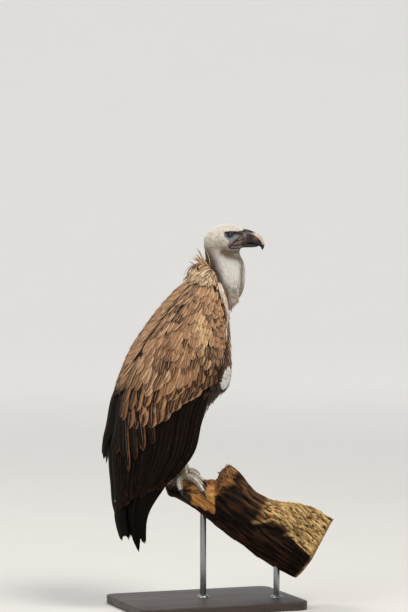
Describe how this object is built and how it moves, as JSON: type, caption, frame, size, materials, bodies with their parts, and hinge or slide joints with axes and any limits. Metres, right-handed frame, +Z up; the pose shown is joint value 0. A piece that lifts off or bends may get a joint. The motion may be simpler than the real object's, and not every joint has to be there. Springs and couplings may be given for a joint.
{
  "type": "griffon vulture on a perch and stand",
  "caption": "Life-size still model of a griffon vulture perched upright on the broken end of a short sloping log, wings folded, held by rods on a flat base.",
  "frame": {"origin": "centre of the underside of the stand's base", "axes": "+Z up; +X the way the bird's body faces; +Y to the bird's left"},
  "size_m": [0.5874, 0.3196, 0.979],
  "materials": {
    "down": "matte",
    "ruff_feathers": "matte",
    "brown_feathers": "matte",
    "flight_feathers": "matte",
    "bill_horn": "satin",
    "eye": "gloss",
    "foot_skin": "matte",
    "claw_horn": "satin",
    "perch_wood": "matte",
    "base_wood": "satin",
    "rod_steel": "satin"
  },
  "bodies": {
    "root": {"bill_lower": "bill_horn", "bill_upper": "bill_horn", "claw_left_1": "claw_horn", "claw_left_2": "claw_horn", "claw_left_3": "claw_horn", "claw_left_4": "claw_horn", "claw_right_1": "claw_horn", "claw_right_2": "claw_horn", "claw_right_3": "claw_horn", "claw_right_4": "claw_horn", "eye_left": "eye", "eye_right": "eye", "head": "down", "neck": "down", "perch_log": "perch_wood", "ruff": "ruff_feathers", "shank_left": "foot_skin", "shank_right": "foot_skin", "stand_base": "base_wood", "stand_rod_back": "rod_steel", "stand_rod_front": "rod_steel", "tail": "flight_feathers", "thigh_left": "brown_feathers", "thigh_right": "brown_feathers", "toe_left_1": "foot_skin", "toe_left_2": "foot_skin", "toe_left_3": "foot_skin", "toe_left_4": "foot_skin", "toe_right_1": "foot_skin", "toe_right_2": "foot_skin", "toe_right_3": "foot_skin", "toe_right_4": "foot_skin", "trunk": "brown_feathers", "wing_left_coverts": "brown_feathers", "wing_left_primaries": "flight_feathers", "wing_left_secondaries": "flight_feathers", "wing_right_coverts": "brown_feathers", "wing_right_primaries": "flight_feathers", "wing_right_secondaries": "flight_feathers"}
  },
  "joints": []
}
